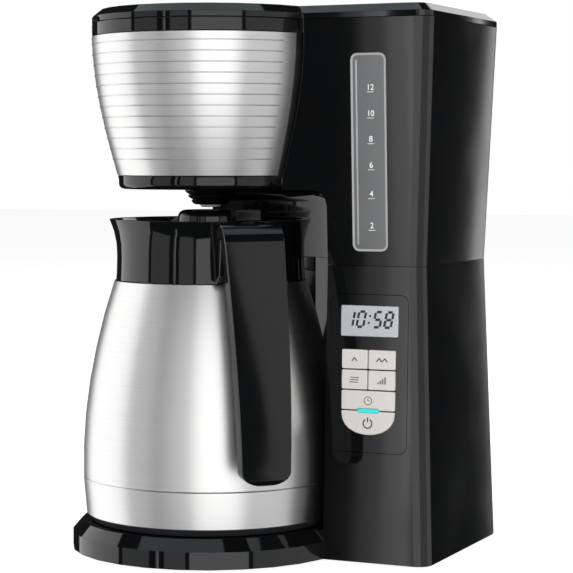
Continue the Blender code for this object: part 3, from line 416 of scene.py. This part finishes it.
bandLook = {"beads": 12, "lowest": 261.3 * mm, "highest": 336.9 * mm, "radius": 0.4 * mm,
            "from": -193.0, "to": -27.0, "edges": (-200.0, -19.0), "sheet": 0.75 * mm,
            "bandSteps": 120, "beadSteps": 90, "beadSides": 10}
bandSides = outerProfile("steel_band")
bandInside = [(r - bandLook["sheet"], z) for r, z in reversed(bandSides)]
bandStart, bandEnd = bandLook["edges"]
band = turned(bandSides + bandInside, bandLook["bandSteps"], math.radians(bandStart),
              math.radians(bandEnd - bandStart))
finishPiece("steelBandLook", band, finishes["brushed_steel"], "root", ["steel_band"])
beads = bmesh.new()
for k in range(bandLook["beads"]):
    rise = (bandLook["highest"] - bandLook["lowest"]) * k / (bandLook["beads"] - 1)
    height = bandLook["lowest"] + rise
    radius = radiusAt(bandSides, height)
    start = math.radians(bandLook["from"])
    ring = bmesh.ops.create_circle(beads, segments=bandLook["beadSides"], radius=bandLook["radius"],
                                   cap_ends=True)["verts"]
    bmesh.ops.rotate(beads, cent=(0, 0, 0), matrix=Matrix.Rotation(math.pi / 2, 3, "X"), verts=ring)
    bmesh.ops.translate(beads, vec=(axisX + radius, axisY, height), verts=ring)
    bmesh.ops.rotate(beads, cent=(axisX, axisY, 0), matrix=Matrix.Rotation(start, 3, "Z"), verts=ring)
    faces = list(dict.fromkeys(f for v in ring for f in v.link_faces))
    rim = list(dict.fromkeys(e for v in ring for e in v.link_edges))
    bmesh.ops.spin(beads, geom=ring + rim + faces, cent=(axisX, axisY, 0), axis=(0, 0, 1),
                   angle=math.radians(bandLook["to"] - bandLook["from"]), steps=bandLook["beadSteps"])
finishPiece("bandBeads", beads, finishes["brushed_steel"], "root")

# Rings are (lowest, highest, lower radius, upper radius), all in millimetres.
nozzleLook = {"rings": ((231.2, 234.4, 10.9, 12.8), (234.8, 237.8, 13.1, 15.0),
                        (238.2, 241.2, 15.3, 17.1)),
              "bore": 7.3, "neck": (13.6, 244.0), "foot": 231.0, "steps": 72, "crease": 50}
sides = [(nozzleLook["bore"], nozzleLook["foot"])]
for z0, z1, r0, r1 in nozzleLook["rings"]:
    sides += [(r0 - 0.5, z0), (r0 + 0.6, z0 + 0.7), ((r0 + r1) / 2 + 0.7, (z0 + z1) / 2),
              (r1, z1 - 0.5), (r1 - 0.9, z1)]
sides += [nozzleLook["neck"], (nozzleLook["bore"], nozzleLook["neck"][1])]
nozzle = turned([(r * mm, z * mm) for r, z in sides], nozzleLook["steps"])
finishPiece("dripNozzleLook", nozzle, finishes["black_gloss"], "root",
            ["drip_nozzle"], crease=nozzleLook["crease"])
print("carafe shell, band and nozzle done")


# Water window: edge ring and left ridge painted light grey as highlights, gauge numbers and their
# underlines

gaugeLook = {"marks": {12: 304.8, 10: 288.3, 8: 272.0, 6: 255.4, 4: 237.1, 2: 216.8},
             "x": 87.6 * mm, "digit": 5.2 * mm, "digitLift": 0.4 * mm, "stroke": 0.05 * mm,
             "line": 4.6 * mm, "lineDrop": 0.9 * mm, "lineThick": 0.35 * mm, "proud": -0.2 * mm}
windowLook = {"eased": 0.3, "rim": 1.5 * mm, "rimDepth": 0.3 * mm, "ridgeIn": 4.0 * mm,
              "ridgeWidth": 1.2 * mm, "ridgeShort": 9 * mm, "ridgeThick": 0.5 * mm,
              "ridgeProud": -0.1 * mm, "ridgeEased": 0.2 * mm}
printCrease = 20
windowPiece = softened("water_window", "waterWindowLook", windowLook["eased"])
windowMesh = bmesh.new()
windowMesh.from_mesh(windowPiece.data)
# The inset ring round the front face is painted light grey: a painted highlight along the window's
# edge.
front = max((f for f in windowMesh.faces if f.normal.y < -0.9), key=lambda f: f.calc_area())
rim = bmesh.ops.inset_region(windowMesh, faces=[front], thickness=windowLook["rim"],
                             depth=-windowLook["rimDepth"])["faces"]
for face in rim:
    face.material_index = 1
windowMesh.to_mesh(windowPiece.data)
windowMesh.free()
windowPiece.data.materials.append(finishes["window_rim"])
windowPiece.data.materials[0] = finishes["window_pane"]
ink = bmesh.new()
for number, height in gaugeLook["marks"].items():
    matrix = onFront("water_window", gaugeLook["x"], height * mm, gaugeLook["proud"])
    words = bpy.data.curves.new("gaugeNumber", "FONT")
    words.body = str(number)
    words.size = gaugeLook["digit"]
    words.align_x = "CENTER"
    words.offset = gaugeLook["stroke"]
    words.extrude = gaugeLook["stroke"]
    letter = bpy.data.objects.new("gaugeNumber", words)
    bpy.context.scene.collection.objects.link(letter)
    shape = bpy.data.meshes.new_from_object(letter)
    bpy.data.objects.remove(letter)
    shape.transform(matrix @ Matrix.Translation((0, gaugeLook["digitLift"], 0)))
    ink.from_mesh(shape)
    bpy.data.meshes.remove(shape)
    addBar(ink, matrix, 0, -gaugeLook["lineDrop"], gaugeLook["line"], gaugeLook["lineThick"])
paneLow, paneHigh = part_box("water_window")
# A thin light grey bar down the window's left side: a painted highlight that stands for the glint on
# the clear plastic.
glintRidge = bmesh.new()
glintRidgePlace = onFront("water_window", paneLow.x + windowLook["ridgeIn"],
                     (paneLow.z + paneHigh.z) / 2, windowLook["ridgeProud"])
addBar(glintRidge, glintRidgePlace, 0, 0, windowLook["ridgeWidth"],
       paneHigh.z - paneLow.z - windowLook["ridgeShort"], windowLook["ridgeThick"])
bmesh.ops.bevel(glintRidge, geom=glintRidge.edges[:], offset=windowLook["ridgeEased"], affect="EDGES",
                segments=2, profile=0.5, material=-1)
finishPiece("windowRidge", glintRidge, finishes["window_rim"], "root")
finishPiece("gaugeMarks", ink, inkWhite, "root", crease=printCrease)

# Display: glass, slanted clock digits

displayLook = {"eased": 0.3, "digit": (4.6 * mm, 9.8 * mm), "stroke": 1.6 * mm, "lean": 0.2,
               "pitch": 7.6 * mm, "raised": 1.2 * mm, "proud": 0.1 * mm, "shortFlat": 1.4 * mm,
               "shortUpright": 1.1 * mm, "dot": 1.3 * mm, "dotApart": 2.2 * mm}
segments = {"0": "abcdef", "1": "bc", "5": "acdfg", "8": "abcdefg"}
lensLow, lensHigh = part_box("display_lens")
lensX = (lensLow.x + lensHigh.x) / 2
lensZ = (lensLow.z + lensHigh.z) / 2
softened("display_lens", "displayLensLook", displayLook["eased"])
bpy.data.objects["displayLensLook"].data.materials[0] = lcdGlass
digits = bmesh.new()
matrix = onFront("display_lens", lensX, lensZ + displayLook["raised"], displayLook["proud"])
wide, tall = displayLook["digit"]
places = {"a": (0, tall / 2, 1), "g": (0, 0, 1), "d": (0, -tall / 2, 1), "f": (-wide / 2, tall / 4, 0),
          "b": (wide / 2, tall / 4, 0), "e": (-wide / 2, -tall / 4, 0), "c": (wide / 2, -tall / 4, 0)}
for text, slot in zip("1058", (-1.75, -0.75, 0.75, 1.75)):
    for key in segments[text]:
        dx, dy, flat = places[key]
        if flat:
            size = (wide - displayLook["shortFlat"], displayLook["stroke"])
        else:
            size = (displayLook["stroke"], tall / 2 - displayLook["shortUpright"])
        addBar(digits, matrix, slot * displayLook["pitch"] + dx, dy, *size, lean=displayLook["lean"])
for dy in (-displayLook["dotApart"], displayLook["dotApart"]):
    addBar(digits, matrix, 0, dy, displayLook["dot"], displayLook["dot"], lean=displayLook["lean"])
finishPiece("clockDigits", digits, lcdInk, "root", crease=printCrease)

# Key marks: plain pictures, no words, each riding with its own key
markLook = {"proud": 0.05 * mm, "arrowSide": 0.9 * mm, "arrowLine": 0.7 * mm, "arrowLong": 3.0 * mm,
            "arrowTurn": 0.7, "arrowsApart": 1.9 * mm, "powerLine": 0.85 * mm}


def keyMark(node, draw):
    low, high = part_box(node)
    mesh = bmesh.new()
    draw(mesh, onFront(node, (low.x + high.x) / 2, (low.z + high.z) / 2, markLook["proud"]))
    finishPiece(node.replace("key_", "mark_"), mesh, inkGrey, node,
                crease=printCrease)


def arrowUp(mesh, matrix, x=0.0):
    for side in (-1, 1):
        addBar(mesh, matrix, x + side * markLook["arrowSide"], 0, markLook["arrowLine"],
               markLook["arrowLong"], turn=side * markLook["arrowTurn"])


def twoArrows(mesh, matrix):
    for side in (-1, 1):
        arrowUp(mesh, matrix, side * markLook["arrowsApart"])


def ripples(mesh, matrix):
    for y in (-1.5 * mm, 0, 1.5 * mm):
        addBar(mesh, matrix, 0, y, 6 * mm, 0.5 * mm, lean=0.2)


def risingBars(mesh, matrix):
    for k in range(4):
        tallness = (1.2 + 1.1 * k) * mm
        addBar(mesh, matrix, (k - 1.5) * 1.6 * mm, tallness / 2 - 2.2 * mm, 0.8 * mm, tallness)


def clockFace(mesh, matrix):
    addRing(mesh, matrix, 2.6 * mm, 0.45 * mm)
    addBar(mesh, matrix, 0, 0.8 * mm, 0.4 * mm, 1.6 * mm)
    addBar(mesh, matrix, 0.6 * mm, 0, 1.2 * mm, 0.4 * mm)


def powerSign(mesh, matrix):
    addRing(mesh, matrix, 3.0 * mm, markLook["powerLine"], start=math.radians(125),
            sweep=math.radians(290))
    addBar(mesh, matrix, 0, 2.3 * mm, markLook["powerLine"], 3.2 * mm)


for node, draw in (("key_hour", arrowUp), ("key_minute", twoArrows), ("key_clean", ripples),
                   ("key_strength", risingBars), ("key_timer", clockFace), ("key_power", powerSign)):
    keyMark(node, draw)
print("window, display and keys done")


# Camera, floor and light

cameraLook = {"spot": (579.5 * mm, -1244.5 * mm, 261.3 * mm),
              "aim": (7.7 * mm, 16.4 * mm, 175.4 * mm), "lens": 128.93, "sensor": 36, "farthest": 100}


def facing(spot, aim):
    return (Vector(aim) - Vector(spot)).to_track_quat("-Z", "Y").to_euler()


camera = bpy.data.objects.new("camera", bpy.data.cameras.new("camera"))
bpy.context.scene.collection.objects.link(camera)
camera.location = cameraLook["spot"]
camera.rotation_euler = facing(cameraLook["spot"], cameraLook["aim"])
camera.data.lens = cameraLook["lens"]
camera.data.sensor_width = cameraLook["sensor"]
camera.data.clip_end = cameraLook["farthest"]
bpy.context.scene.camera = camera

floorLook = {"half": 8, "roughness": 0.7, "dim": 0.10, "bright": 0.55, "glow": 0.93}
floorMesh = bmesh.new()
bmesh.ops.create_grid(floorMesh, x_segments=1, y_segments=1, size=floorLook["half"])
floorData = bpy.data.meshes.new("floor")
floorMesh.to_mesh(floorData)
floorMesh.free()
floor = bpy.data.objects.new("floor", floorData)
bpy.context.scene.collection.objects.link(floor)
# The camera sees a pale floor; reflections see it dim, so that black plastic stays black.
pale = bpy.data.materials.new("paleFloor")
pale.use_nodes = True
floorTree = pale.node_tree
paint = floorTree.nodes["Principled BSDF"]
paint.inputs["Roughness"].default_value = floorLook["roughness"]
seen = floorTree.nodes.new("ShaderNodeLightPath")
for socket, dim, bright in (("Base Color", floorLook["dim"], floorLook["bright"]),
                            ("Emission Color", 0, floorLook["glow"])):
    mix = floorTree.nodes.new("ShaderNodeMix")
    mix.data_type = "RGBA"
    mix.inputs[6].default_value = (dim, dim, dim, 1)
    mix.inputs[7].default_value = (bright, bright, bright, 1)
    floorTree.links.new(seen.outputs["Is Camera Ray"], mix.inputs["Factor"])
    floorTree.links.new(mix.outputs[2], paint.inputs[socket])
paint.inputs["Emission Strength"].default_value = 1.0
floorData.materials.append(pale)
floor.visible_glossy = False
floor.visible_shadow = False

# Each card stands at an angle round the object, 0 in front and 90 on its right.
cardLook = {
    "leftCard": {"angle": -84, "away": 2.0, "width": 2.3, "tall": 3.0, "glow": 1.4},
    "greyCardLeft": {"angle": -38, "away": 2.6, "width": 1.15, "tall": 3.0, "glow": 0.6},
    "greyCardFront": {"angle": -4, "away": 2.6, "width": 0.8, "tall": 3.0, "glow": 0.7},
    "frontCard": {"angle": 32, "away": 2.6, "width": 2.3, "tall": 3.0, "glow": 1.6},
    "rightCard": {"angle": 102, "away": 2.2, "width": 4.0, "tall": 3.0, "glow": 0.75},
}
cardHeight = 0.3  # where the middle of the cards and strips stands
# Narrow strips, given by where they stand, draw the grey bands on the flat black faces.
stripLook = {
    "stripWide": {"from": (-0.726, -2.0), "to": (-0.679, -2.0), "glow": 0.7},
    "stripBright": {"from": (-0.679, -2.0), "to": (-0.640, -2.0), "glow": 1.7},
    "stripEdge": {"from": (-0.640, -2.0), "to": (-0.628, -2.0), "glow": 3.6},
    "stripRear": {"from": (1.084, 3.0), "to": (1.128, 3.0), "glow": 1.9},
}


def addCard(name, spot, width, tall, glow, aim):
    lamp = bpy.data.lights.new(name, "AREA")
    lamp.shape = "RECTANGLE"
    lamp.size, lamp.size_y = width, tall
    lamp.energy = math.pi * width * tall * glow
    holder = bpy.data.objects.new(name, lamp)
    bpy.context.scene.collection.objects.link(holder)
    holder.location = spot
    holder.rotation_euler = facing(spot, aim)


for name, look in cardLook.items():
    turn = math.radians(look["angle"])
    spot = (math.sin(turn) * look["away"], -math.cos(turn) * look["away"], cardHeight)
    addCard(name, spot, look["width"], look["tall"], look["glow"], (0, 0, cardHeight))
for name, look in stripLook.items():
    spot = [(p + q) / 2 for p, q in zip(look["from"], look["to"])] + [cardHeight]
    width = abs(look["to"][0] - look["from"][0])
    addCard(name, spot, width, 3.0, look["glow"], (spot[0], 0, cardHeight))
addCard("topCard", (-0.2, 0, 2.4), 3.0, 2.4, 0.8, (-0.2, 0.001, 0))
bpy.data.lights["topCard"].color = (0.86, 0.96, 1.0)
addCard("rearHighCard", (0.2, 3.0, 1.7), 2.2, 1.0, 1.2, (0.2, 0, cardHeight))

# Soft fill that lights matt surfaces without drawing itself in the gloss.
addCard("softFill", (0.5, -2.4, 1.2), 2.4, 2.4, 2.7, (0, 0, 0.18))
bpy.data.objects["softFill"].visible_glossy = False

# The camera sees a white backdrop, while reflections see a dark room.
world = bpy.data.worlds.new("studio")
bpy.context.scene.world = world
world.use_nodes = True
worldTree = world.node_tree
ray = worldTree.nodes.new("ShaderNodeLightPath")
shade = worldTree.nodes.new("ShaderNodeMix")
shade.data_type = "RGBA"
shade.inputs[6].default_value = (0.02, 0.021, 0.022, 1)
shade.inputs[7].default_value = (1, 1, 1, 1)
worldTree.links.new(ray.outputs["Is Camera Ray"], shade.inputs["Factor"])
worldTree.links.new(shade.outputs[2], worldTree.nodes["Background"].inputs["Color"])
bpy.context.scene.view_settings.view_transform = "Standard"
print("camera, floor and light placed")
